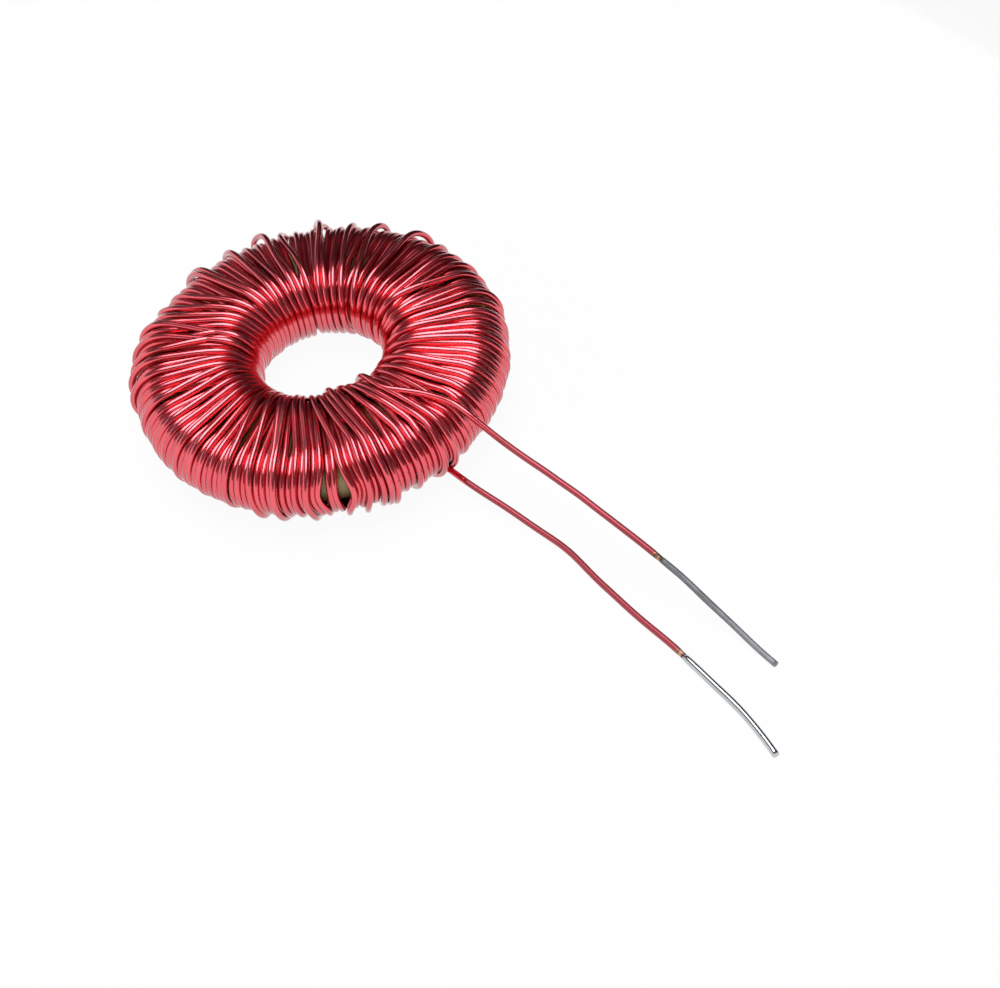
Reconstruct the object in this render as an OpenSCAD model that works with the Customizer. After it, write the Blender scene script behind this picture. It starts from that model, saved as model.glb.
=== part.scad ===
// Toroidal inductor: a coated ring core wound all round with enamelled copper wire in three layers.
// The ring lies flat on z = 0 with its axis on +Z, and its two wire ends leave towards -Y and +X.
// Every turn is bent from round wire: a leg out over the top of the core, a bend down its outer wall,
// a leg back in under the core and a bend up through the bore.

/* [Core] */
// Outer diameter of the coated core
core_od = 30; // [22:0.5:45]
// Inner diameter of the coated core
core_id = 13.4; // [11:0.1:18]
// Height of the coated core, whose edges are fully rounded
core_h = 4; // [3:0.1:7]

/* [Wire] */
// Diameter of the wire over its enamel
wire_d = 0.56; // [0.4:0.01:0.7]
// Diameter of the stripped and tinned wire ends
tip_d = 0.52; // [0.35:0.01:0.65]

/* [Winding] */
// Layers of wire on top of each other in the bore
layers = 3; // [2:1:3]
// Clearance between neighbouring turns
turn_gap = 0.01; // [0.01:0.01:0.1]
// Clearance between the first layer and the core
seat_gap = 0.02; // [0.02:0.01:0.2]
// Height of each layer over the one below it, as a share of the distance between turns
nesting = 0.85; // [0.85:0.01:1]
// Angle that stays unwound between the last turn and the first, where the wire ends leave
lead_gap = 12; // [12:1:40]

/* [Wire ends] */
// Direction midway between the two wire ends, seen from above, in degrees from +X
ends_angle = -48.6; // [-52:0.1:-45]
// Angle between the start, which leaves under the ring, and the finish, which leaves over its top
ends_apart = 7.3; // [5:0.1:8]
// Distance from the crest of the winding in to the elbow where each end turns outwards
elbow_setback = 1.8; // [1:0.1:3]

/* [Hidden] */
$fn = 24;

// Places that each wire end passes after it leaves the ring, from the ring to the tip, and the outer
// radius of the core that they are given for
route_core_r = 15;
start_route = [
    [10.6, -13.7, 1.25], [11.5, -14.8, 1.2], [12.6, -15.9, 1.0], [13.7, -17.0, 0.8],
    [14.7, -18.1, 0.6], [15.7, -19.2, 0.4], [16.7, -20.3, 0.3], [17.6, -21.4, 0.3],
    [18.4, -22.7, 0.3], [19.1, -24.1, 0.3], [19.8, -25.4, 0.3], [20.6, -26.7, 0.3],
    [21.4, -28.0, 0.3], [22.2, -29.3, 0.3], [23.0, -30.5, 0.3], [23.9, -31.8, 0.3],
    [24.7, -33.0, 0.3], [25.4, -34.3, 0.3], [26.2, -35.6, 0.3], [26.9, -36.9, 0.3],
    [27.7, -38.2, 0.3], [28.4, -39.5, 0.3], [29.0, -40.9, 0.3], [29.6, -42.4, 0.3],
    [29.9, -43.4, 0.3]
];
finish_route = [
    [12.3, -12.5, 6.8], [13.2, -13.9, 6.8], [14.1, -15.2, 6.75], [15.1, -16.4, 6.6],
    [16.1, -17.5, 6.35], [17.2, -18.5, 6.0], [18.2, -19.6, 5.65], [19.3, -20.6, 5.3],
    [20.2, -21.7, 4.95], [21.2, -22.7, 4.55], [22.2, -23.8, 4.15], [23.2, -24.8, 3.7],
    [24.2, -25.9, 3.25], [25.1, -26.9, 2.8], [26.1, -28.0, 2.35], [26.9, -29.1, 1.9],
    [27.8, -30.3, 1.45], [28.7, -31.5, 1.05], [29.5, -32.6, 0.7], [30.3, -33.9, 0.45],
    [31.1, -35.1, 0.32], [31.5, -35.7, 0.3]
];
// Place on each route where the enamel is stripped and the tinned tip starts
start_strip = 16;
finish_strip = 12;
// Sides of the swept wire ends
lead_sides = 8;

// How much the bends are thicker than the legs, and how far the legs reach into the bends
swell = 0.006;
lap = 0.05;

wire_r = wire_d / 2;
wire_step = wire_d + turn_gap;
on_core = seat_gap + wire_r;
rise = nesting * wire_step;
half_first = core_h / 2 + on_core;
top_layer = layers - 1;
mid_z = half_first + top_layer * rise + wire_r + swell;

// Directions of the two wire ends and of the first turn
start_angle = ends_angle - ends_apart / 2;
finish_angle = ends_angle + ends_apart / 2;
first_turn_angle = ends_angle + lead_gap / 2;

// Radii at which the round edges of the core start, and where the first layer lies on its walls
edge_in = core_id / 2 + core_h / 2;
edge_out = core_od / 2 - core_h / 2;
wall_r = core_od / 2 + on_core;
bore_r = core_id / 2 - on_core - top_layer * rise;

// A cell is one turn of each layer: side by side on the outer wall, stacked in the bore
wall_cell = layers * 2 * asin(wire_step / 2 / wall_r);
bore_cell = 2 * asin(wire_step / 2 / bore_r);
cells = floor((360 - lead_gap) / max(wall_cell, bore_cell));
cell_angle = (360 - lead_gap) / cells;
turns = cells * layers;
last_turn = turns - 1;

function polar(r, angle, z) = [r * cos(angle), r * sin(angle), z];
function layer(k) = k % layers;

// Half the height of turn k, from leg to leg
function half(k) = half_first + layer(k) * rise;

// Where turn k lies in the bore and on the outer wall
function bore_angle(k) = first_turn_angle + cell_angle * (floor(k / layers) + layer(k) / 2);
function bore_at(k) = polar(edge_in - half(k), bore_angle(k), mid_z);
function wall_at(k) = polar(wall_r, first_turn_angle + cell_angle * k / layers, mid_z);

// Direction of the legs of turn k, and the distance along it from the bore to the outer bend
function heading(k) = let (d = wall_at(k) - bore_at(k)) atan2(d.y, d.x);
function span(k) = norm(wall_at(k) - bore_at(k)) - (wall_r - edge_out);
function leg_end(k) = bore_at(k) + polar(span(k), heading(k), 0);

// The outer bend of turn k leans sideways, so that it ends on the bottom leg of the next turn
function drop(k) = half(k) + half(k + 1);
function aside(k) =
    let (d = leg_end(k + 1) - leg_end(k)) d.y * cos(heading(k)) - d.x * sin(heading(k));
function lean(k) = atan(aside(k) / drop(k));
function outer_bend(k) = drop(k) / cos(lean(k)) / 2;

// Where the first bottom leg and the last top leg begin, and their elbows at the edge of the ring
crest_r = edge_out + half_first + top_layer * rise + wire_r;
start_leg = bore_at(0) + polar(half(0), heading(0), -half(0));
finish_leg = bore_at(last_turn) + polar(half(last_turn), heading(last_turn), half(last_turn));
start_elbow = polar(crest_r - elbow_setback, start_angle, start_leg.z);
finish_elbow = polar(crest_r - elbow_setback, finish_angle, finish_leg.z);

// The wire ends as they lie: moved outwards with the edge of the core, and no lower than the table
edge_shift = polar(core_od / 2 - route_core_r, ends_angle, 0);
function laid(route) =
    [for (p = route) [p.x + edge_shift.x, p.y + edge_shift.y, max(p.z, wire_r)]];
start_path = laid(start_route);
finish_path = laid(finish_route);

// A ring of points round place i of a path that comes from the point before, square to the wire
function way(path, i, before) =
    (i == len(path) - 1 ? path[i] : i == 0 ? path[0] : path[i + 1])
    - (i == 0 ? before : path[i - 1]);
function ring(path, i, before, r) =
    let (
        t = way(path, i, before) / norm(way(path, i, before)),
        side = cross(t, [0, 0, 1]) / norm(cross(t, [0, 0, 1])),
        up = cross(side, t)
    )
    [for (a = [0 : 360 / lead_sides : 359]) path[i] + r * (cos(a) * side + sin(a) * up)];

// Wire of diameter d swept along a path from place first to place last
module wire_run(path, first, last, before, d) {
    count = last - first + 1;
    rings = [for (i = [first : last]) each ring(path, i, before, d / 2)];
    around = [for (s = [0 : lead_sides - 1]) s];
    walls = [
        for (i = [0 : count - 2], s = around)
            let (n = (s + 1) % lead_sides, row = i * lead_sides)
            [row + s, row + n, row + lead_sides + n, row + lead_sides + s]
    ];
    back_end = [for (s = around) lead_sides - 1 - s];
    front_end = [for (s = around) (count - 1) * lead_sides + s];
    polyhedron(rings, concat([back_end], walls, [front_end]));
}

// A straight round rod from one point to another
module rod(from, to) {
    d = to - from;
    translate(from)
        rotate([0, acos(d.z / norm(d)), atan2(d.y, d.x)])
            cylinder(h = norm(d), r = wire_r);
}

// The frame of turn k: its origin in the bore at mid height, its x axis along the legs
module at_turn(k) {
    translate(bore_at(k)) rotate([0, 0, heading(k)]) children();
}

module leg(k, z) {
    at_turn(k)
        translate([half(k) - lap, 0, z])
            rotate([0, 90, 0])
                cylinder(h = span(k) - half(k) + 2 * lap, r = wire_r);
}

// Half a ring of wire with the given radius, in the x-z plane, open towards -x
module half_ring(bend_r) {
    rotate([90, 90, 0])
        rotate_extrude(angle = 180)
            translate([bend_r, 0])
                circle(r = wire_r + swell);
}

module inner_bend(k) {
    at_turn(k)
        translate([half(k), 0, 0])
            rotate([0, 0, 180])
                half_ring(half(k));
}

module outer_bend_down(k) {
    at_turn(k)
        translate([span(k), 0, half(k)])
            rotate([lean(k), 0, 0])
                translate([0, 0, -outer_bend(k)])
                    half_ring(outer_bend(k));
}

// A wire end runs slantwise from its leg to the elbow and out to its lead
module wire_end(leg, elbow, lead) {
    rod(leg, elbow);
    rod(elbow, lead);
    for (joint = [leg, elbow])
        translate(joint) sphere(r = wire_r + 2 * swell);
}

module core() {
    color("darkkhaki")
        translate([0, 0, mid_z])
            rotate_extrude() {
                translate([edge_in, -core_h / 2]) square([edge_out - edge_in, core_h]);
                for (r = [edge_in, edge_out])
                    translate([r, 0]) circle(d = core_h);
            }
}

module winding() {
    color("crimson") {
        for (k = [0 : last_turn])
            inner_bend(k);
        for (k = [1 : last_turn])
            leg(k, -half(k));
        for (k = [0 : last_turn - 1]) {
            leg(k, half(k));
            outer_bend_down(k);
        }
        wire_end(start_leg, start_elbow, start_path[0]);
        wire_end(finish_leg, finish_elbow, finish_path[0]);
    }
}

module start_lead() {
    color("crimson")
        wire_run(start_path, 0, start_strip, start_elbow, wire_d);
}

module start_tip() {
    color("silver")
        wire_run(start_path, start_strip, len(start_path) - 1, start_elbow, tip_d);
}

module finish_lead() {
    color("crimson")
        wire_run(finish_path, 0, finish_strip, finish_elbow, wire_d);
}

module finish_tip() {
    color("silver")
        wire_run(finish_path, finish_strip, len(finish_path) - 1, finish_elbow, tip_d);
}

core();
winding();
start_lead();
start_tip();
finish_lead();
finish_tip();
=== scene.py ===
"""Toroidal inductor: a coated ring core wound all round with red enamelled copper wire."""

import math

import bpy
import numpy as np
from mathutils import Matrix, Vector


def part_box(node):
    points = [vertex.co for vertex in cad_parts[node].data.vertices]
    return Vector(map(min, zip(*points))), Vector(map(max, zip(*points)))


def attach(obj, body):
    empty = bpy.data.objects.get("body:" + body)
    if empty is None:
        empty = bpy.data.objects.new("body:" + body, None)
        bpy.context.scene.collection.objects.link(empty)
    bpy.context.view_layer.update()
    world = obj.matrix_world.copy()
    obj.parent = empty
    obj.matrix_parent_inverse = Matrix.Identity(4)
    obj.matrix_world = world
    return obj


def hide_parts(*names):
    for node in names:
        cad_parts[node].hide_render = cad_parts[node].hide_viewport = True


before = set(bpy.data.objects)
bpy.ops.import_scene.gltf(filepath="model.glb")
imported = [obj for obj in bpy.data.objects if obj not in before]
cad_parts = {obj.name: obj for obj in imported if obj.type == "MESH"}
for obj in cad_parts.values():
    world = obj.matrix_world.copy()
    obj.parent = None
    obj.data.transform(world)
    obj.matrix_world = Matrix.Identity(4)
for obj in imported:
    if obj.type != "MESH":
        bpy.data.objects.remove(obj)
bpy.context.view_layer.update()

# ---------------------------------------------------------------------------
# Camera: looks down on the lying ring from its front, a little rolled, so that
# the ring sits left of the middle and the wire ends run to the lower right.
# ---------------------------------------------------------------------------
MM = 0.001
ring_low, ring_high = (np.array(corner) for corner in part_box("winding"))
ring_middle = Vector((0.0, 0.0, (ring_low[2] + ring_high[2]) / 2))

view_elevation = math.radians(48.71)
view_roll = math.radians(-8.90)
view_distance = 159.03 * MM
image_width = 1000
image_height = 988
focal_pixels = 1862.3
sensor_mm = 36.0
ring_pixel = (322.4, 363.6)

towards_camera = Vector((0.0, -math.cos(view_elevation), math.sin(view_elevation)))
level_right = Vector((1.0, 0.0, 0.0))
level_up = towards_camera.cross(level_right)
camera_right = level_right * math.cos(view_roll) + level_up * math.sin(view_roll)
camera_up = level_up * math.cos(view_roll) - level_right * math.sin(view_roll)
aside = (ring_pixel[0] - image_width / 2) / focal_pixels * view_distance
above = (image_height / 2 - ring_pixel[1]) / focal_pixels * view_distance

camera_data = bpy.data.cameras.new("camera")
camera_data.sensor_fit = "HORIZONTAL"
camera_data.sensor_width = sensor_mm
camera_data.lens = sensor_mm * focal_pixels / image_width
camera_data.clip_start = 0.005
camera_data.clip_end = 20.0
camera = bpy.data.objects.new("camera", camera_data)
bpy.context.scene.collection.objects.link(camera)
turned = Matrix((camera_right, camera_up, towards_camera)).transposed()
place = ring_middle - turned @ Vector((aside, above, -view_distance))
camera.matrix_world = Matrix.Translation(place) @ turned.to_4x4()
bpy.context.scene.camera = camera

# ---------------------------------------------------------------------------
# Wire ends: the start leaves under the ring and lies on the table, and the
# finish leaves over the ring's top edge and slopes down to it. Both are stiff
# enamelled copper wire, stripped for their last 12 mm and cut off square.
# ---------------------------------------------------------------------------
wire_d = 0.56 * MM
wire_r = wire_d / 2
drawn_r = 0.265 * MM
bare_r = 0.238 * MM
start_route = MM * np.array([
    (10.6, -13.7, 1.25), (11.5, -14.8, 1.2), (12.6, -15.9, 1.0), (13.7, -17.0, 0.8),
    (14.7, -18.1, 0.6), (15.7, -19.2, 0.4), (16.7, -20.3, 0.3), (17.6, -21.4, 0.3),
    (18.4, -22.7, 0.3), (19.1, -24.1, 0.3), (19.8, -25.4, 0.3), (20.6, -26.7, 0.3),
    (21.37, -28.02, 0.3), (22.16, -29.33, 0.3), (22.96, -30.53, 0.3), (23.85, -31.83, 0.3),
    (24.64, -33.04, 0.3), (25.33, -34.34, 0.3), (26.13, -35.64, 0.3), (26.83, -36.94, 0.3),
    (27.62, -38.25, 0.3), (28.31, -39.55, 0.3), (28.91, -40.95, 0.3), (29.51, -42.45, 0.3),
    (29.83, -43.42, 0.3)])
finish_route = MM * np.array([
    (12.3, -12.5, 6.8), (13.2, -13.9, 6.8), (14.1, -15.2, 6.75), (15.1, -16.4, 6.6),
    (16.1, -17.5, 6.35), (17.2, -18.5, 6.0), (18.2, -19.6, 5.65), (19.3, -20.6, 5.3),
    (20.2, -21.7, 4.95), (21.2, -22.7, 4.55), (22.2, -23.8, 4.15), (23.2, -24.8, 3.7),
    (24.2, -25.9, 3.25), (25.1, -26.9, 2.8), (26.1, -28.0, 2.35), (26.9, -29.1, 1.9),
    (27.8, -30.3, 1.45), (28.7, -31.5, 1.05), (29.5, -32.6, 0.7), (30.3, -33.9, 0.45),
    (31.1, -35.1, 0.32), (31.5, -35.7, 0.3)])
start_strip = 16
finish_strip = 12
strip_taper = 0.35 * MM
up_axis = np.array([0.0, 0.0, 1.0])


def lengths_along(path):
    """Distance of each point of a path from its first, summed over the straight steps."""
    steps = np.linalg.norm(np.diff(path, axis=0), axis=1)
    return np.concatenate([[0.0], np.cumsum(steps)])


def smooth_route(route, spacing):
    """Evenly spaced points on the curve through a route: between two places it is the cubic
    whose slopes at both are the mean of the chords that meet there."""
    slopes = np.gradient(route, axis=0)
    count = len(route) - 1
    at = np.linspace(0, count, 12 * count + 1)
    i = np.minimum(at.astype(int), count - 1)
    t = (at - i)[:, None]
    dense = (route[i] * (1 + 2 * t) * (1 - t) ** 2 + route[i + 1] * t ** 2 * (3 - 2 * t)
             + slopes[i] * t * (1 - t) ** 2 + slopes[i + 1] * t ** 2 * (t - 1))
    run = lengths_along(dense)
    even = np.linspace(0, run[-1], max(int(round(run[-1] / spacing)), 2) + 1)
    return np.stack([np.interp(even, run, dense[:, axis]) for axis in range(3)], axis=1)


def wire_mesh(name, path, radius, away, sides=12):
    """Round wire: about each point p of the path lies the ring p + r (cos a out + sin a side),
    where out is the given direction made square to the wire, and side is square to both; the
    first point lies against out, so that the seam of the UV map is hidden below the wire.
    Flat caps close the two ends. The UV map holds millimetres along the wire and turns round it."""
    along = np.gradient(path, axis=0)
    along /= np.linalg.norm(along, axis=1, keepdims=True)
    out = away - np.sum(away * along, axis=1, keepdims=True) * along
    out /= np.linalg.norm(out, axis=1, keepdims=True)
    side = np.cross(along, out)
    angle = np.pi + np.linspace(0, 2 * np.pi, sides, endpoint=False)
    spoke = (np.cos(angle)[None, :, None] * out[:, None, :]
             + np.sin(angle)[None, :, None] * side[:, None, :])
    reach = np.broadcast_to(np.asarray(radius, dtype=float), (len(path),))
    verts = (path[:, None, :] + reach[:, None, None] * spoke).reshape(-1, 3)

    row = np.arange(len(path) - 1)[:, None] * sides
    here = np.arange(sides)[None, :]
    ahead = (here + 1) % sides
    quads = np.stack([row + here, row + ahead, row + sides + ahead, row + sides + here], axis=2)
    end = (len(path) - 1) * sides
    loops = np.concatenate([quads.ravel(), np.arange(sides)[::-1], end + np.arange(sides)])
    sizes = np.concatenate([np.full(quads.shape[0] * sides, 4), [sides, sides]])
    starts = np.concatenate([[0], np.cumsum(sizes)[:-1]])
    rounded = np.ones(len(sizes), dtype=bool)
    rounded[-2:] = False

    run = lengths_along(path) / MM
    step = np.broadcast_to(np.stack([run[:-1], run[1:]], axis=1)[:, None, :], (len(run) - 1, sides, 2))
    turn = np.broadcast_to(np.stack([here, here + 1], axis=2) / sides, (len(run) - 1, sides, 2))
    corners = np.stack([step[..., [0, 0, 1, 1]], turn[..., [0, 1, 1, 0]]], axis=3).reshape(-1, 2)
    ends = np.repeat([[run[0], 0.0], [run[-1], 0.0]], sides, axis=0)

    mesh = bpy.data.meshes.new(name)
    mesh.vertices.add(len(verts))
    mesh.vertices.foreach_set("co", verts.ravel())
    mesh.loops.add(len(loops))
    mesh.loops.foreach_set("vertex_index", loops.astype(np.int32))
    mesh.polygons.add(len(sizes))
    mesh.polygons.foreach_set("loop_start", starts.astype(np.int32))
    mesh.polygons.foreach_set("use_smooth", rounded)
    mesh.update(calc_edges=True)
    layer = mesh.uv_layers.new(name="along_wire")
    layer.uv.foreach_set("vector", np.concatenate([corners, ends]).astype(np.float32).ravel())
    piece = bpy.data.objects.new(name, mesh)
    bpy.context.scene.collection.objects.link(piece)
    return piece


def new_material(name):
    """An empty node material with its Principled shader."""
    material = bpy.data.materials.new(name)
    material.use_nodes = True
    return material, material.node_tree, material.node_tree.nodes["Principled BSDF"]


def add_node(tree, kind, **settings):
    """A node of one kind, with its inputs set by name and its properties by attribute."""
    node = tree.nodes.new(kind)
    for key, value in settings.items():
        if key in node.inputs:
            node.inputs[key].default_value = value
        else:
            setattr(node, key, value)
    return node


def link(tree, source, output, target, socket):
    """Joins a node's output to another node's input."""
    tree.links.new(source.outputs[output], target.inputs[socket])


def ramp_node(tree, source, output, stops):
    """A colour ramp through (position, grey or colour) stops, fed by a node's output."""
    ramp = tree.nodes.new("ShaderNodeValToRGB")
    while len(ramp.color_ramp.elements) < len(stops):
        ramp.color_ramp.elements.new(0.5)
    for element, (position, colour) in zip(ramp.color_ramp.elements, stops):
        element.position = position
        element.color = (*colour, 1.0) if isinstance(colour, tuple) else (colour, colour, colour, 1.0)
    link(tree, source, output, ramp, "Fac")
    return ramp


enamel_red = (0.94, 0.098, 0.128)
enamel_deep = (0.83, 0.066, 0.098)
# Dark red of the painted shade on the wire's flanks, where the surface is seen aslant
painted_flank_shade = (0.40, 0.022, 0.040)
dust_white = (0.9, 0.8, 0.78)


def red_enamel(name, deep, red, smooth, rough, coat_rough, coat_ior):
    """Clear red enamel over bright copper: a tinted metal under a glossy coat. Its depth of colour
    drifts along the wire, and a painted shade darkens it where it is seen aslant, on the flanks of
    each wire and in the grooves between turns. Its gloss is uneven at a few tenths of a millimetre,
    and a few grains of dust lie on it."""
    material, tree, shader = new_material(name)
    coords = add_node(tree, "ShaderNodeTexCoord")
    wire = add_node(tree, "ShaderNodeUVMap", uv_map="along_wire")
    squeeze = add_node(tree, "ShaderNodeMapping", Scale=(0.045, 0.6, 1.0))
    link(tree, wire, "UV", squeeze, "Vector")
    drift = add_node(tree, "ShaderNodeTexNoise", Scale=1.0, Detail=3.0, Roughness=0.6)
    link(tree, squeeze, "Vector", drift, "Vector")
    tint = ramp_node(tree, drift, "Fac", [(0.34, deep), (0.66, red)])
    # Painted shade: the colour is mixed towards a dark red where the surface is seen aslant, darkening
    # the flanks of each wire and the grooves between turns
    slope = add_node(tree, "ShaderNodeLayerWeight", Blend=0.5)
    aslant = add_node(tree, "ShaderNodeMapRange", clamp=True)
    link(tree, slope, "Facing", aslant, "Value")
    aslant.inputs["From Min"].default_value = 0.18
    aslant.inputs["From Max"].default_value = 0.75
    flank_shaded = add_node(tree, "ShaderNodeMix", data_type="RGBA")
    link(tree, aslant, "Result", flank_shaded, 0)
    link(tree, tint, "Color", flank_shaded, 6)
    flank_shaded.inputs[7].default_value = (*painted_flank_shade, 1.0)

    specks = add_node(tree, "ShaderNodeTexVoronoi", Scale=420.0, Randomness=1.0)
    link(tree, coords, "Object", specks, "Vector")
    near = ramp_node(tree, specks, "Distance", [(0.02, 1.0), (0.035, 0.0)])
    cell = add_node(tree, "ShaderNodeSeparateColor")
    link(tree, specks, "Color", cell, "Color")
    chosen = add_node(tree, "ShaderNodeMath", operation="LESS_THAN")
    link(tree, cell, "Red", chosen, 0)
    chosen.inputs[1].default_value = 0.10
    dust = add_node(tree, "ShaderNodeMath", operation="MULTIPLY")
    link(tree, near, "Color", dust, 0)
    link(tree, chosen, "Value", dust, 1)
    colour = add_node(tree, "ShaderNodeMix", data_type="RGBA")
    link(tree, dust, "Value", colour, 0)
    tree.links.new(flank_shaded.outputs[2], colour.inputs[6])
    colour.inputs[7].default_value = (*dust_white, 1.0)
    tree.links.new(colour.outputs[2], shader.inputs["Base Color"])

    haze = add_node(tree, "ShaderNodeTexNoise", Scale=900.0, Detail=2.0, Roughness=0.5)
    link(tree, coords, "Object", haze, "Vector")
    gloss = ramp_node(tree, haze, "Fac", [(0.3, smooth), (0.7, rough)])
    link(tree, gloss, "Color", shader, "Roughness")
    ripple = add_node(tree, "ShaderNodeTexNoise", Scale=500.0, Detail=1.0)
    link(tree, coords, "Object", ripple, "Vector")
    bump = add_node(tree, "ShaderNodeBump", Strength=0.04, Distance=0.00003)
    link(tree, ripple, "Fac", bump, "Height")
    link(tree, bump, "Normal", shader, "Normal")
    shader.inputs["Metallic"].default_value = 0.96
    shader.inputs["Coat Weight"].default_value = 1.0
    shader.inputs["Coat Roughness"].default_value = coat_rough
    shader.inputs["Coat IOR"].default_value = coat_ior
    return material


# Darker reds for the enamel of the wire ends: a painted shade on the same enamel as the winding
lead_shaded_red = (0.50, 0.062, 0.086)
lead_shaded_deep = (0.40, 0.044, 0.064)
burnt_copper = (0.62, 0.30, 0.17)
scorch = (0.05, 0.03, 0.02)


def stripped_wire(name, strip_mm, dull_mm):
    """The enamelled wire up to its strip mark, then bare copper with scorched scraps of enamel.
    From the ring on the enamel grows rougher, and darker by a painted shade, and stays so from
    dull_mm off it."""
    material = red_enamel(name, lead_shaded_deep, lead_shaded_red, 0.50, 0.60, 0.38, 1.42)
    tree = material.node_tree
    shader = tree.nodes["Principled BSDF"]
    red = shader.inputs["Base Color"].links[0].from_socket
    wire = add_node(tree, "ShaderNodeUVMap", uv_map="along_wire")
    parts = add_node(tree, "ShaderNodeSeparateXYZ")
    link(tree, wire, "UV", parts, "Vector")
    dulled = add_node(tree, "ShaderNodeMapRange", clamp=True)
    link(tree, parts, "X", dulled, "Value")
    dulled.inputs["From Min"].default_value = 0.0
    dulled.inputs["From Max"].default_value = dull_mm
    # Painted shade: the colour darkens from the winding's red at the ring to the darker reds over
    # dull_mm
    lead_shading = add_node(tree, "ShaderNodeMix", data_type="RGBA")
    link(tree, dulled, "Result", lead_shading, 0)
    lead_shading.inputs[6].default_value = (*enamel_red, 1.0)
    tree.links.new(red, lead_shading.inputs[7])
    rougher = add_node(tree, "ShaderNodeMapRange", clamp=True)
    link(tree, dulled, "Result", rougher, "Value")
    rougher.inputs["To Min"].default_value = 0.22
    rougher.inputs["To Max"].default_value = 0.52
    link(tree, rougher, "Result", shader, "Roughness")
    ragged = add_node(tree, "ShaderNodeTexNoise", Scale=5.0, Detail=2.0)
    link(tree, wire, "UV", ragged, "Vector")
    shifted = add_node(tree, "ShaderNodeMath", operation="MULTIPLY_ADD")
    link(tree, ragged, "Fac", shifted, 0)
    shifted.inputs[1].default_value = 0.7
    link(tree, parts, "X", shifted, 2)
    bare = add_node(tree, "ShaderNodeMapRange", clamp=True)
    link(tree, shifted, "Value", bare, "Value")
    bare.inputs["From Min"].default_value = strip_mm + 0.25
    bare.inputs["From Max"].default_value = strip_mm + 0.45
    colour = add_node(tree, "ShaderNodeMix", data_type="RGBA")
    link(tree, bare, "Result", colour, 0)
    tree.links.new(lead_shading.outputs[2], colour.inputs[6])
    stains = add_node(tree, "ShaderNodeTexNoise", Scale=3.0, Detail=3.0)
    link(tree, wire, "UV", stains, "Vector")
    burnt = ramp_node(tree, stains, "Fac", [(0.42, scorch), (0.56, burnt_copper)])
    tree.links.new(burnt.outputs["Color"], colour.inputs[7])
    tree.links.new(colour.outputs[2], shader.inputs["Base Color"])
    return material


def tinned_copper(name, colour_low, colour_high, gloss_low, gloss_high, towards_tip):
    """Solder-dipped wire: a grey metal whose gloss and brightness change along the wire, and that
    grows brighter towards the tip by the given share for each millimetre."""
    material, tree, shader = new_material(name)
    wire = add_node(tree, "ShaderNodeUVMap", uv_map="along_wire")
    squeeze = add_node(tree, "ShaderNodeMapping", Scale=(0.35, 1.6, 1.0))
    link(tree, wire, "UV", squeeze, "Vector")
    flow = add_node(tree, "ShaderNodeTexNoise", Scale=1.0, Detail=4.0, Roughness=0.65)
    link(tree, squeeze, "Vector", flow, "Vector")
    parts = add_node(tree, "ShaderNodeSeparateXYZ")
    link(tree, wire, "UV", parts, "Vector")
    brighter = add_node(tree, "ShaderNodeMath", operation="MULTIPLY_ADD")
    link(tree, parts, "X", brighter, 0)
    brighter.inputs[1].default_value = towards_tip
    link(tree, flow, "Fac", brighter, 2)
    tint = ramp_node(tree, brighter, "Value",
                     [(0.35, colour_low), (0.62 + 10 * towards_tip, colour_high)])
    link(tree, tint, "Color", shader, "Base Color")
    gloss = ramp_node(tree, flow, "Fac", [(0.35, gloss_high), (0.65, gloss_low)])
    link(tree, gloss, "Color", shader, "Roughness")
    coords = add_node(tree, "ShaderNodeTexCoord")
    waves = add_node(tree, "ShaderNodeTexNoise", Scale=420.0, Detail=1.0)
    link(tree, coords, "Object", waves, "Vector")
    bump = add_node(tree, "ShaderNodeBump", Strength=0.08, Distance=0.00004)
    link(tree, waves, "Fac", bump, "Height")
    link(tree, bump, "Normal", shader, "Normal")
    shader.inputs["Metallic"].default_value = 1.0
    return material


point_spacing = 0.35 * MM
smoothing_rounds = 14
end_sides = 24
feather_run = 0.8 * MM
tip_rounding = 0.12 * MM


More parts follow.
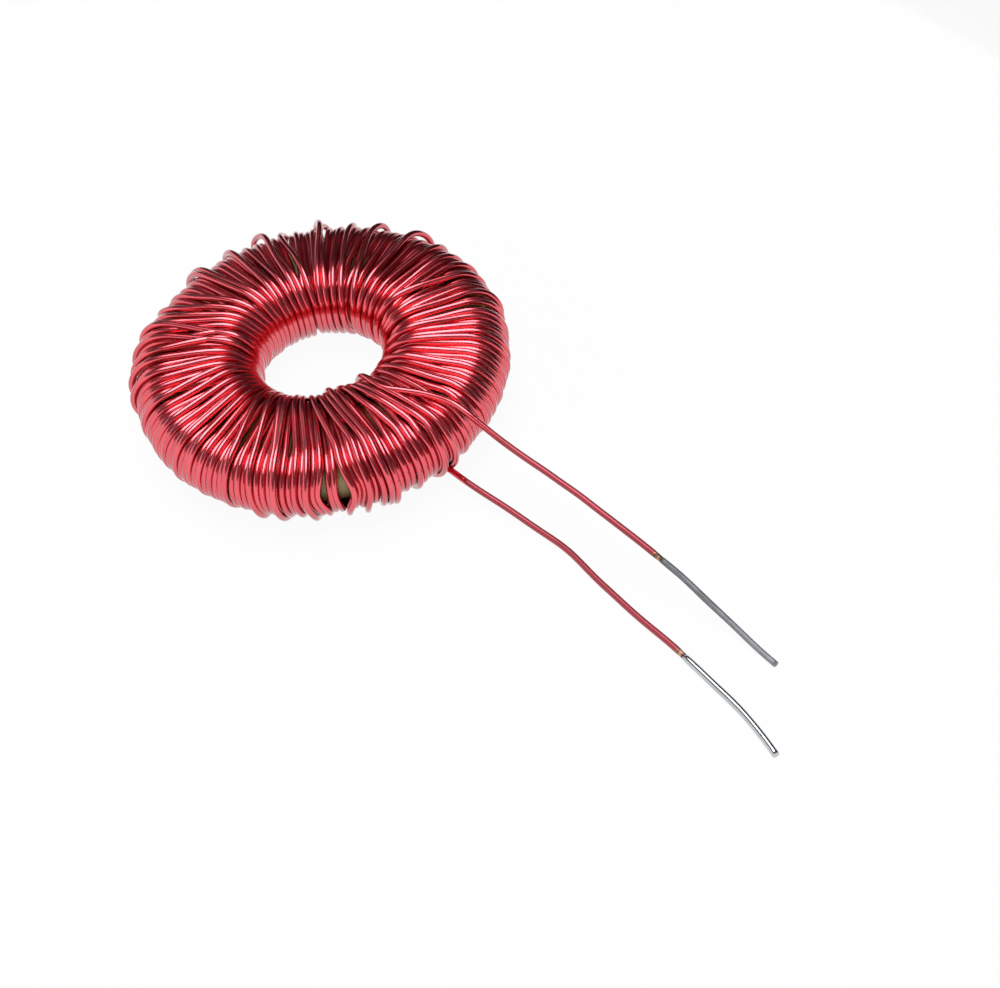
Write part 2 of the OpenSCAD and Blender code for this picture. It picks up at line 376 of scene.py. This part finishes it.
def wire_end(side, route, strip, dull_mm, tin, coat_thick):
    """One wire end: the whole wire from the ring to its tip, dull from dull_mm off the ring and
    bare past the strip mark, and the coat of tin on the bare stretch. The tin swells and thins
    by slow waves along the wire, and feathers out towards the strip mark."""
    path = smooth_route(route, point_spacing)
    for _ in range(smoothing_rounds):
        path[1:-1] = 0.25 * path[:-2] + 0.5 * path[1:-1] + 0.25 * path[2:]
    run = lengths_along(path)
    marks = lengths_along(route)
    strip_at = marks[strip] / marks[-1] * run[-1]
    bareness = np.clip((run - strip_at) / strip_taper, 0, 1)
    radius = drawn_r + (bare_r - drawn_r) * bareness
    lead = wire_mesh(side + "_wire", path, radius, np.broadcast_to(up_axis, path.shape),
                     sides=end_sides)
    lead.data.materials.append(stripped_wire(side + "_enamel", strip_at / MM, dull_mm))

    coat_path = path[run > strip_at + strip_taper + 0.1 * MM]
    coat_run = lengths_along(coat_path)
    left = coat_run[-1] - coat_run
    feather = np.clip(coat_run / feather_run, 0, 1) ** 0.5
    swell = 0.006 * np.sin(coat_run / (1.9 * MM)) + 0.004 * np.sin(coat_run / (0.71 * MM) + 1.0)
    rounded_tip = 1 - np.clip(1 - left / tip_rounding, 0, 1) ** 2 * 0.03
    coat_r = (bare_r + 0.006 * MM + (coat_thick + swell * MM) * feather) * rounded_tip
    coat_path[:, 2] = np.maximum(coat_path[:, 2], coat_r + 0.01 * MM)
    tip_step = (coat_path[-1] - coat_path[-2]) / np.linalg.norm(coat_path[-1] - coat_path[-2])
    coat_path = coat_path + np.outer(left < 1e-9, tip_step) * 0.02 * MM
    coat = wire_mesh(side + "_tin", coat_path, coat_r, np.broadcast_to(up_axis, coat_path.shape),
                     sides=end_sides)
    coat.data.materials.append(tin)

    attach(lead, "root")
    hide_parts(side + "_lead")
    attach(coat, "root")
    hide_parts(side + "_tip")


bright_tin = tinned_copper("bright_tin", (0.46, 0.48, 0.50), (0.60, 0.62, 0.65), 0.13, 0.19, 0.0)
satin_tin = tinned_copper("satin_tin", (0.19, 0.19, 0.20), (0.38, 0.39, 0.42), 0.62, 0.72, 0.03)
wire_end("start", start_route, start_strip, 0.3, bright_tin, 0.044 * MM)
wire_end("finish", finish_route, finish_strip, 3.2, satin_tin, 0.008 * MM)

# ---------------------------------------------------------------------------
# Core: a ring of pressed iron powder under a matt khaki coating, with fully
# rounded edges. It shows only in small gaps between the turns of wire.
# ---------------------------------------------------------------------------
core_od = 30.0
core_id = 13.4
core_h = 4.0
core_middle = 3.555
khaki_dark = (0.46, 0.40, 0.17)
khaki_light = (0.64, 0.57, 0.27)


def powder_coating(name):
    """Matt coating with the fine grain of the powder under it."""
    material, tree, shader = new_material(name)
    coords = add_node(tree, "ShaderNodeTexCoord")
    blotch = add_node(tree, "ShaderNodeTexNoise", Scale=700.0, Detail=5.0, Roughness=0.7)
    link(tree, coords, "Object", blotch, "Vector")
    tint = ramp_node(tree, blotch, "Fac", [(0.35, khaki_dark), (0.65, khaki_light)])
    link(tree, tint, "Color", shader, "Base Color")
    grain = add_node(tree, "ShaderNodeTexNoise", Scale=5000.0, Detail=3.0)
    link(tree, coords, "Object", grain, "Vector")
    bump = add_node(tree, "ShaderNodeBump", Strength=0.35, Distance=0.00003)
    link(tree, grain, "Fac", bump, "Height")
    link(tree, bump, "Normal", shader, "Normal")
    shader.inputs["Roughness"].default_value = 0.38
    return material


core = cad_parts["core"]
core.data.materials.clear()
core.data.materials.append(powder_coating("khaki_coating"))

# ---------------------------------------------------------------------------
# Winding: 195 turns of the same red enamelled wire, wound by hand in three passes
# round the ring. Each turn is laid over those already there, so the later passes
# crowd in the bore, bridge the earlier ones and cross them on the outer wall.
# ---------------------------------------------------------------------------
wire = wire_d / MM
give = 0.05
tight = wire - give
seat_gap = 0.02
on_core = seat_gap + wire / 2
edge_r = core_h / 2
edge_in = core_id / 2 + edge_r
edge_out = core_od / 2 - edge_r
usual_off_wall = 0.95
wall_r = core_od / 2 + usual_off_wall
usual_height = 0.7
steps = 64
lowest_z = 0.285
highest_z = 7.03
coil_sides = 14
inside_share = 0.9


def core_outline():
    """Places round the core's section and their outward normals, evenly spaced for a wire at the
    usual height off it: from the middle of the bore up a quarter circle, straight out over the
    top, down a half circle, straight in below, and up a quarter circle. Also the steps where the
    parts meet."""
    arc = np.pi / 2 * (edge_r + usual_height)
    flat = edge_out - edge_in
    ends = np.array([0, arc, arc + flat, 3 * arc + flat, 3 * arc + 2 * flat, 4 * arc + 2 * flat])
    s = np.arange(steps + 1) / steps * ends[-1]
    turn = np.interp(s, ends, np.radians([180, 90, 90, -90, -90, -180]))
    r = np.interp(s, ends, [edge_in, edge_in, edge_out, edge_out, edge_in, edge_in])
    return (r + edge_r * np.cos(turn), edge_r * np.sin(turn), np.cos(turn), np.sin(turn),
            ends / ends[-1] * steps)


out_r, out_z, normal_r, normal_z, marks = core_outline()
step = np.arange(steps + 1)
wall_step = (marks[2] + marks[3]) / 2
on_top = step <= marks[2]
below = step >= marks[3]
first_wall = (step > marks[2]) & (step <= wall_step)
second_wall = (step > wall_step) & (step < marks[3])
bore_r = 6.1

# The stiff wire stands off the core a little where it bends round the wall
stand_off = np.interp(step, [0, 9, 15, 21, 26, 32, 37, 42, 47, 54],
                      [0.0, 0.10, 0.20, 0.12, 0.30, 0.52, 0.44, 0.26, 0.08, 0.0])
least_height = on_core + stand_off

# Radius at which the sideways distances between turns are measured
near_r = out_r + normal_r * np.maximum(0.75, least_height + 0.1)


def leg_share(r):
    """How far a leg that is straight in plan has turned at radius r, as a share of its turn on the
    wall: 1 - bore_r / r, over the same at the wall's radius, and nothing inside the bore."""
    return np.clip((1 - bore_r / r) / (1 - bore_r / wall_r), 0, None)


leg_turn = leg_share(out_r + usual_height * normal_r) / leg_share(edge_out)


def turn_angles(start, at_top, at_middle, at_bottom, finish):
    """Angles round the ring along one turn, for several tries at once: from its place in the
    bore the leg runs straight out to the top edge, the wall part goes by its middle to the
    bottom edge, and the lower leg runs straight in to the next place in the bore."""
    angles = np.empty((len(start), steps + 1))
    angles[:, on_top] = start[:, None] + np.outer(at_top - start, leg_turn[on_top])
    angles[:, below] = finish[:, None] + np.outer(at_bottom - finish, leg_turn[below])
    part = (step[first_wall] - marks[2]) / (wall_step - marks[2])
    angles[:, first_wall] = at_top[:, None] + np.outer(at_middle - at_top, part)
    part = (step[second_wall] - wall_step) / (marks[3] - wall_step)
    angles[:, second_wall] = at_middle[:, None] + np.outer(at_bottom - at_middle, part)
    return angles


def heights_over(angles, laid_angles, laid_heights):
    """Least height over the core at which wires at these angles clear all that are laid: beside a
    laid wire at height h and sideways distance x it is h + sqrt(d^2 - x^2), for a wire thickness d
    less the little that tight wires give, and never less than where the wire stands off the core."""
    apart = angles[:, None, :] - laid_angles[None]
    apart = np.abs((apart + 180) % 360 - 180) * np.pi / 180 * near_r
    over = laid_heights[None] + np.sqrt(np.maximum(tight ** 2 - apart ** 2, 0))
    return np.maximum(np.where(apart < tight, over, 0).max(axis=1), least_height)


bend = np.exp(-0.5 * (np.arange(-4, 5) / 1.6) ** 2)
bend /= bend.sum()


def drape(heights, before):
    """Heights of a stiff wire that rests on these heights: its blurred heights are raised to them
    ten times over and blurred once more, so that it hardly dips below them, and it carries on
    smoothly from the turn before."""
    lead_in = len(before) - 1
    base = np.concatenate([before[:-1], heights, np.repeat(heights[-1], 8)])
    bent = base.copy()
    for _ in range(10):
        bent = np.maximum(base, np.convolve(np.pad(bent, 4, mode="edge"), bend, "valid"))
        bent[:lead_in] = base[:lead_in]
    bent = np.convolve(np.pad(bent, 4, mode="edge"), bend, "valid")
    return bent[lead_in:lead_in + len(heights)]


def drift(count, span, seed):
    """Random values that change slowly from turn to turn: noise blurred over a span of turns."""
    values = np.random.default_rng(seed).normal(size=count + 8 * math.ceil(span))
    reach = np.arange(-3 * math.ceil(span), 3 * math.ceil(span) + 1)
    blur = np.exp(-0.5 * (reach / span) ** 2)
    return np.convolve(values, blur / np.sqrt((blur ** 2).sum()), "same")[4 * math.ceil(span):][:count]


# Each pass: its first angle in the bore, how far it goes round, its turns, and how uneven they are
passes = [(-49.0, 357.0, 70, 0.02), (308.0, 361.0, 65, 0.04), (670.0, 353.0, 60, 0.07)]

# Pass by pass: how unevenly the turns crowd in the bore and how loosely they lie, in millimetres, how
# far they wander from turn to turn, how hard a turn keeps to its own place on the wall, and the
# share of the thinning below that its places in the bore take
crowding_of = (0.02, 0.22, 0.28)
looseness_of = (0.04, 0.07, 0.12)
wandering_of = (0.3, 1.4, 2.3)
keeping_of = (0.35, 0.30, 0.16)
thinning_of = (0.0, 0.5, 1.0)

# Radius at which the crowding is measured, and the angle in the bore where the last turn ends
crowding_r = 5.9
last_bore = 1024.0
bore_places = np.concatenate([a + sweep * np.arange(n) / n for a, sweep, n, _ in passes]
                             + [[last_bore]])
pass_of = np.repeat(np.arange(3), [n for _, _, n, _ in passes])
turns = len(pass_of)


def thinning(angle):
    """Two waves round the ring, in degrees. Less its value where the first pass begins, it is the
    shift that draws the places in the bore to the front and the back."""
    a = np.radians(angle)
    return 8.0 * np.sin(a - 0.17) + 4.5 * np.sin(2 * a)


shift = thinning(bore_places[:-1]) - thinning(passes[0][0])
bore_places[:-1] += np.array(thinning_of)[pass_of] * shift

# How far each turn wanders on the wall from its own place: most at the left of the ring, less at
# its right and least elsewhere
wander = 0.45 * drift(turns, 4, 33) + 0.45 * drift(turns, 1.0, 34)
wander *= np.array(wandering_of)[pass_of]
from_left = bore_places[:-1] % 360 - 180
from_right = (bore_places[:-1] - 10 + 180) % 360 - 180
wander *= 1 + 0.8 * np.exp(-(from_left / 30) ** 2) + 0.6 * np.exp(-(from_right / 35) ** 2)

# On the wall the turns lie side by side, one to a place, where a place is still free
wall_places = 177
place_step = 360 / wall_places
first_place = -51.25


def sway(angle):
    """Sideways lean of the turns on the wall in millimetres at an angle round the ring: a sum
    of waves, so that neighbours lean together."""
    a = np.radians(angle)
    return (0.10 * np.sin(2 * a + 0.6) + 0.12 * np.sin(5 * a + 2.1) + 0.10 * np.sin(9 * a + 4.0)
            + 0.06 * np.sin(17 * a + 1.0))


# The start lies on the core before the first turn: straight in under the ring and up into the bore
angle_of = np.zeros((turns + 2, steps + 1))
not_laid = -10.0
height_of = np.full((turns + 2, steps + 1), not_laid)
under = step >= 44
angle_of[0, under] = np.interp(step[under], [44, 50, 56, 64], [-52.0, -51.0, -50.0, -49.0])
height_of[0, under] = on_core

# Each turn is tried in the places near its own, and the try of least effort is laid: low on the
# wall, on the top and in the bore, nowhere too proud, and not far from its own place
rng = np.random.default_rng(26)
places_aside = 4
tries_each = 16
reach = np.repeat(np.arange(-places_aside, places_aside + 1), tries_each)
tries = len(reach)
wall_effort, top_effort, bore_effort, proud_effort = 2.4, 0.4, 1.2, 4.0
proud_from = 1.3
wall_part, top_part, bore_part = slice(22, 43), slice(5, 20), slice(-6, None)
joined_steps = 12
bore_now = bore_places[0]
before = np.full(joined_steps, on_core)
for turn in range(turns):
    uneven = passes[pass_of[turn]][3]
    crowding = crowding_of[pass_of[turn]] / crowding_r * 180 / np.pi
    bore_next = bore_places[turn + 1] + rng.uniform(-1, 1, size=tries) * crowding
    if turn + 1 < turns and pass_of[turn + 1] != pass_of[turn]:
        bore_next[:] = bore_places[turn + 1]
    ahead = (bore_now + bore_places[turn + 1]) / 2 + np.degrees(wander[turn] / wall_r)
    place = first_place + place_step * (np.round((ahead - first_place) / place_step) + reach)
    slant = np.degrees((sway(place) + rng.normal(size=tries) * uneven) / wall_r)
    bow = np.degrees(rng.normal(size=tries) * 0.4 * uneven / wall_r)
    angles = turn_angles(np.full(tries, bore_now), place + slant, place + bow, place - slant, bore_next)
    heights = heights_over(angles, angle_of[:turn + 1], height_of[:turn + 1])
    aside = (place - ahead) * np.pi / 180 * wall_r
    too_proud = np.maximum(heights.max(axis=1) - proud_from, 0)
    effort = (wall_effort * heights[:, wall_part].mean(axis=1)
              + top_effort * heights[:, top_part].mean(axis=1)
              + bore_effort * heights[:, bore_part].mean(axis=1) + proud_effort * too_proud
              + keeping_of[pass_of[turn]] * aside ** 2)
    best = int(np.argmin(effort))
    angle_of[turn + 1] = angles[best]
    looser = abs(rng.normal()) * looseness_of[pass_of[turn]]
    height_of[turn + 1] = drape(heights[best] + looser * stand_off / stand_off.max(), before)
    before = height_of[turn + 1][-joined_steps:]
    bore_now = bore_next[best]

# The finish rises out of the bore after the last turn and runs slantwise over the top to the edge.
# Its heights over the core in the bore and on the top say at which radius each step of it lies
finish_leg = np.array([(2.99, -4.43), (3.7, -5.7), (5.0, -7.4), (6.84, -8.14), (8.22, -8.74),
                       (9.49, -9.53), (10.67, -10.45), (11.66, -11.58)])
finish_r = np.linalg.norm(finish_leg, axis=1)
finish_angle = np.degrees(np.arctan2(finish_leg[:, 1], finish_leg[:, 0]))
leg_heights = (1.3, 0.9)
leg_r = out_r + normal_r * np.interp(step, [0, marks[1]], leg_heights)
angle_of[turns + 1] = np.interp(leg_r, finish_r, finish_angle)
three_rounds = 3 * 360
turning_steps = 6
turning = np.clip(1 - step / turning_steps, 0, 1)
angle_of[turns + 1] += (bore_now - three_rounds - finish_angle[0]) * turning
resting = heights_over(angle_of[None, turns + 1], angle_of[:turns + 1], height_of[:turns + 1])[0]
height_of[turns + 1] = drape(resting, before)

# Below the bottom edge the turns that ride highest were pressed back towards the others: a share
# of what rises over the height where the pressing starts, most in the middle of the pressed steps
press_from = 1.2
press_share = 0.65
before_press, after_press = 32, 51
pressed = (step > before_press) & (step < after_press)
too_high = np.maximum(height_of[:, pressed] - press_from, 0)
press_wave = np.sin(np.pi * (step[pressed] - before_press) / (after_press - before_press))
height_of[:, pressed] -= press_share * too_high * press_wave ** 0.5

# Slits that open between the turns where the wire was pushed apart: angle, how far in mm the
# turns beside it move off, less and less for those further on, and the steps that it reaches over
slits = [(-91.8, 0.40, 22, 35), (-86.3, 0.62, 22, 35), (-52.3, 0.08, 36, 48),
         (-41.5, 0.22, 15, 25), (-55.6, 0.20, 19, 28)]
laid = slice(1, turns + 1)
push_fades_mm = 2.0
for at, push, low, high in slits:
    middle = (low + high) // 2
    off = ((angle_of[laid, middle] - at + 180) % 360 - 180) * np.pi / 180 * near_r[middle]
    lens = np.sin(np.pi * np.clip((step - low) / (high - low), 0, 1) ** 1.6) ** 2
    moved = push * np.sign(off) * np.exp(-np.abs(off) / push_fades_mm)
    angle_of[laid] += np.degrees(np.outer(moved, lens / near_r))

# Slack turns of the last pass that stand proud of the top edge or hang below the bottom edge:
# angle on the wall, height and sideways lean in mm, and the step of the crest
slack = [(36, 0.18, 0.3, 29), (50, 0.20, -0.4, 28), (58, 0.22, 0.4, 28), (66, 0.27, -0.5, 27),
         (74, 0.20, 0.2, 28), (83, 0.28, -0.4, 27), (91, 0.31, 0.5, 27), (99, 0.24, -0.6, 28),
         (108, 0.28, 0.6, 27), (118, 0.22, -0.4, 28), (130, 0.27, 0.2, 28), (150, 0.20, -0.5, 29),
         (172, 0.18, 0.5, 30), (8, 0.18, -0.4, 30), (-120, 0.12, 0.3, 40), (-111, 0.14, -0.4, 40),
         (-82.5, 0.12, 0.3, 40)]
last_pass = np.flatnonzero(pass_of == 2) + 1

# Steps over which a crest sinks to its sides, its lean changes side, and its lean dies out
crest_steps, change_steps, lean_steps = 5.0, 3.0, 9.0
for at, rise, lean, crest in slack:
    away_from = np.abs((angle_of[last_pass, crest] - at + 180) % 360 - 180)
    row = last_pass[np.argmin(away_from)]
    height_of[row] += rise * np.exp(-((step - crest) / crest_steps) ** 2)
    across = np.tanh((step - crest) / change_steps) * np.exp(-((step - crest) / lean_steps) ** 2)
    angle_of[row] += np.degrees(lean / wall_r) * across


def wire_places(rows):
    """Places of the wire's middle for laid turns, and the directions away from the core: the core's
    outline moved along its normal by the wire's height, turned by its angle round the ring, and
    kept between the lowest and the highest z that the wire may have."""
    angle = np.radians(angle_of[rows])
    r = out_r + normal_r * height_of[rows]
    z = core_middle + out_z + normal_z * height_of[rows]
    places = np.stack([r * np.cos(angle), r * np.sin(angle), np.clip(z, lowest_z, highest_z)], axis=-1)
    away = np.stack([normal_r * np.cos(angle), normal_r * np.sin(angle),
                     np.broadcast_to(normal_z, r.shape)], axis=-1)
    return places, away


winding_enamel = red_enamel("red_enamel", enamel_deep, enamel_red, 0.19, 0.25, 0.07, 1.65)
exit_start = start_route[0] / MM
exit_finish = finish_route[0] / MM
start_way = (start_route[1] - start_route[0]) / np.linalg.norm(start_route[1] - start_route[0])
finish_way = (finish_route[1] - finish_route[0]) / np.linalg.norm(finish_route[1] - finish_route[0])

# How far the wire of the winding runs on inside each wire end, and how the ways there are made: the
# points from the start's exit to the core, the finish's steps that lie on the turns, and its
# last places, with their height at the ring's edge and the spacing of the points on from there
start_run_in, finish_run_in = 0.8, 0.9
start_points = 10
finish_steps = 20
edge_places = finish_leg[-3:]
edge_z = 6.83
finish_spacing = 0.4 * MM
for number, name in enumerate(["first_pass", "second_pass", "third_pass"]):
    places_now, away_now = wire_places(np.flatnonzero(pass_of == number) + 1)
    path = np.concatenate([places_now[:, :-1].reshape(-1, 3), places_now[-1, -1:]])
    away = np.concatenate([away_now[:, :-1].reshape(-1, 3), away_now[-1, -1:]])
    if number == 0:
        lead_places, lead_away = wire_places([0])
        begin = np.linspace(exit_start, lead_places[0, under][0], start_points)[:-1]
        inside = [exit_start + start_run_in * start_way, exit_start + start_run_in / 2 * start_way]
        begin = np.concatenate([inside, begin])
        path = np.concatenate([begin, lead_places[0, under][:-1], path])
        away = np.concatenate([np.tile(-up_axis, (len(begin), 1)), lead_away[0, under][:-1], away])
    if number == 2:
        lead_places, lead_away = wire_places([turns + 1])
        over = (step > 0) & (step <= finish_steps)
        z = lead_places[0, over][-1, 2]
        end = np.concatenate([np.column_stack([edge_places, [z, z, edge_z]]), [exit_finish],
                              [exit_finish + finish_run_in * finish_way]])
        route = np.concatenate([lead_places[0, over][-1:], end])
        end = smooth_route(route * MM, finish_spacing)[1:] / MM
        path = np.concatenate([path, lead_places[0, over], end])
        away = np.concatenate([away, lead_away[0, over], np.tile(up_axis, (len(end), 1))])
    for _ in range(2):
        path[1:-1] = 0.25 * path[:-2] + 0.5 * path[1:-1] + 0.25 * path[2:]
    # Where the wire runs on into a wire end it is thinner, so that it stays inside it
    radius = np.full(len(path), wire_r)
    if number == 0:
        radius[:2] *= inside_share
    if number == 2:
        radius[-2:] *= inside_share
    coil = wire_mesh(name, path * MM, radius, away, sides=coil_sides)
    coil.data.materials.append(winding_enamel)
    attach(coil, "root")
    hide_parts("winding")

# ---------------------------------------------------------------------------
# Studio: a wide pale floor under a white sky, one long soft lamp above the ring, dark
# cards all round up to the lamp, and a black cloth that lies and stands behind the
# ring on its right. Cards and cloth keep the shoulders of the glossy wire dark.
# ---------------------------------------------------------------------------
scene = bpy.context.scene
scene.view_settings.view_transform = "Standard"
floor_reach = 3
floor_mesh = bpy.data.meshes.new("floor")
floor_mesh.from_pydata([(-floor_reach, -floor_reach, 0), (floor_reach, -floor_reach, 0),
                        (floor_reach, floor_reach, 0), (-floor_reach, floor_reach, 0)],
                       [], [(0, 1, 2, 3)])
floor = bpy.data.objects.new("floor", floor_mesh)
scene.collection.objects.link(floor)


def seen_directly(tree):
    """1 for rays from the camera, and for those that gloss and glass send on, otherwise 0. The
    floor is plain white to these, and an ordinary pale floor to all other light."""
    rays = tree.nodes.new("ShaderNodeLightPath")
    first = add_node(tree, "ShaderNodeMath", operation="MAXIMUM")
    link(tree, rays, "Is Camera Ray", first, 0)
    link(tree, rays, "Is Glossy Ray", first, 1)
    both = add_node(tree, "ShaderNodeMath", operation="MAXIMUM")
    link(tree, first, "Value", both, 0)
    link(tree, rays, "Is Transmission Ray", both, 1)
    return both


white_share = 0.95
white_paper = bpy.data.materials.new("white_paper")
white_paper.use_nodes = True
tree = white_paper.node_tree
tree.nodes.clear()
output = tree.nodes.new("ShaderNodeOutputMaterial")
lit = add_node(tree, "ShaderNodeBsdfDiffuse", Color=(0.85, 0.85, 0.85, 1.0))
white = add_node(tree, "ShaderNodeEmission", Color=(1.0, 1.0, 1.0, 1.0), Strength=1.0)
share = add_node(tree, "ShaderNodeMath", operation="MULTIPLY")
link(tree, seen_directly(tree), "Value", share, 0)
share.inputs[1].default_value = white_share
mix = tree.nodes.new("ShaderNodeMixShader")
link(tree, share, "Value", mix, 0)
tree.links.new(lit.outputs[0], mix.inputs[1])
tree.links.new(white.outputs[0], mix.inputs[2])
tree.links.new(mix.outputs[0], output.inputs["Surface"])
floor_mesh.materials.append(white_paper)

# The cards reach from a lower edge, at a chosen angle over the floor as seen from the ring, up to an
# oval opening just below the lamp
lamp_place = (0.0, 0.05, 0.6)
card_count = 48
card_r = 0.6
card_top = 0.59
opening_x, opening_y = 0.28, 0.33
around = np.linspace(0, 2 * np.pi, card_count + 1)[:-1]
lowest_seen = np.radians(np.interp(np.degrees(around), [0, 60, 120, 150, 200, 230, 270, 310, 360],
                                   [4, 3, 4, 31, 38, 30, 17, 9, 4]))
low_edge = card_r * np.stack([np.cos(around), np.sin(around), np.tan(lowest_seen)], axis=1)
high_edge = np.stack([opening_x * np.cos(around), lamp_place[1] + opening_y * np.sin(around),
                      np.full(card_count, card_top)], axis=1)
here = np.arange(card_count)
ahead = (here + 1) % card_count
panels = np.stack([here + card_count, ahead + card_count, ahead, here], axis=1)
card_mesh = bpy.data.meshes.new("dark_cards")
card_mesh.from_pydata(np.concatenate([low_edge, high_edge]).tolist(), [], panels.tolist())
cards = bpy.data.objects.new("dark_cards", card_mesh)
scene.collection.objects.link(cards)
cards.visible_camera = False
grey_card, _, card_shader = new_material("grey_card")
card_shader.inputs["Base Color"].default_value = (0.20, 0.20, 0.20, 1.0)
card_shader.inputs["Roughness"].default_value = 1.0
card_mesh.materials.append(grey_card)

# The cloth's front edge, the fold where it rises and its top edge: their radii and heights
flag_edges = [(0.075, 0.002), (0.5, 0.004), (0.42, 0.38)]
flag_count = 12
flag_angles = np.radians(np.linspace(-25, 115, flag_count))
flag_rows = [np.stack([r * np.cos(flag_angles), r * np.sin(flag_angles), np.full(flag_count, z)],
                      axis=1) for r, z in flag_edges]
here = np.arange(flag_count - 1)
panels = np.stack([here + flag_count, here + flag_count + 1, here + 1, here], axis=1)
flag_mesh = bpy.data.meshes.new("black_flag")
flag_mesh.from_pydata(np.concatenate(flag_rows).tolist(), [],
                      np.concatenate([panels, panels + flag_count]).tolist())
flag = bpy.data.objects.new("black_flag", flag_mesh)
scene.collection.objects.link(flag)
flag.visible_camera = False
black_cloth, _, cloth_shader = new_material("black_cloth")
cloth_shader.inputs["Base Color"].default_value = (0.03, 0.03, 0.03, 1.0)
cloth_shader.inputs["Roughness"].default_value = 1.0
flag_mesh.materials.append(black_cloth)

lamp_data = bpy.data.lights.new("soft_lamp", "AREA")
lamp_data.shape = "ELLIPSE"
lamp_data.size = 0.40
lamp_data.size_y = 0.66
lamp_data.energy = 2.71
lamp = bpy.data.objects.new("soft_lamp", lamp_data)
lamp.location = lamp_place
scene.collection.objects.link(lamp)

world = bpy.data.worlds.new("studio")
world.use_nodes = True
scene.world = world
sky = world.node_tree.nodes["Background"]
sky.inputs["Strength"].default_value = 1.0
sky.inputs["Color"].default_value = (1.0, 1.0, 1.0, 1.0)

bpy.context.view_layer.update()
